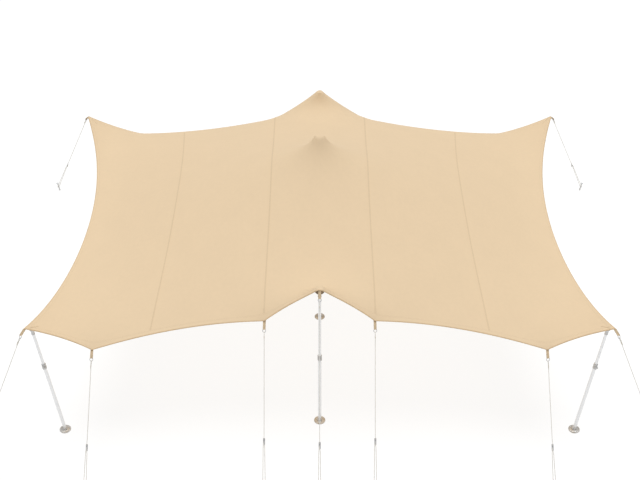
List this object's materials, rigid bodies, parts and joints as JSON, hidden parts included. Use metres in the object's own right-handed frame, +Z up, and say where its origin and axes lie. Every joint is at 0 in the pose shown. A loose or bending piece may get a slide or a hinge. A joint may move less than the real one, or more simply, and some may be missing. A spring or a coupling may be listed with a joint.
{
  "type": "stretch tent",
  "caption": "Open-sided stretch tent: a sewn tension canopy with a central peak and a raised ridge, on poles with base plates, held by taut guy lines and ground stakes",
  "frame": {"origin": "on the ground under the centre pole, the middle of the outline's bottom", "axes": "+X along the long side of the tent, to the right seen from the front; front faces -Y; +Z up"},
  "size_m": [10.067, 8.456, 3.565],
  "materials": {
    "canopy_cloth": "matt coated stretch fabric, sand coloured",
    "pole_aluminium": "satin silver anodised tube",
    "cap_plastic": "moulded, fine matt texture",
    "guy_rope": "off-white braided polyester rope with webbing and a small tensioner",
    "stake_steel": "zinc-plated round steel"
  },
  "bodies": {
    "root": {"cap_back": "cap_plastic", "cap_centre": "cap_plastic", "cap_front": "cap_plastic", "guy_back_left_corner": "guy_rope", "guy_back_left_inner": "guy_rope", "guy_back_left_low": "guy_rope", "guy_back_middle": "guy_rope", "guy_back_right_corner": "guy_rope", "guy_back_right_inner": "guy_rope", "guy_back_right_low": "guy_rope", "guy_front_left_corner": "guy_rope", "guy_front_left_inner": "guy_rope", "guy_front_left_low": "guy_rope", "guy_front_middle": "guy_rope", "guy_front_right_corner": "guy_rope", "guy_front_right_inner": "guy_rope", "guy_front_right_low": "guy_rope", "panel_far_left": "canopy_cloth", "panel_far_right": "canopy_cloth", "panel_left": "canopy_cloth", "panel_middle": "canopy_cloth", "panel_right": "canopy_cloth", "pole_back": "pole_aluminium", "pole_back_left": "pole_aluminium", "pole_back_right": "pole_aluminium", "pole_centre": "pole_aluminium", "pole_front": "pole_aluminium", "pole_front_left": "pole_aluminium", "pole_front_right": "pole_aluminium", "stake_back_left_corner": "stake_steel", "stake_back_left_inner": "stake_steel", "stake_back_left_low": "stake_steel", "stake_back_middle": "stake_steel", "stake_back_right_corner": "stake_steel", "stake_back_right_inner": "stake_steel", "stake_back_right_low": "stake_steel", "stake_front_left_corner": "stake_steel", "stake_front_left_inner": "stake_steel", "stake_front_left_low": "stake_steel", "stake_front_middle": "stake_steel", "stake_front_right_corner": "stake_steel", "stake_front_right_inner": "stake_steel", "stake_front_right_low": "stake_steel"}
  },
  "joints": []
}
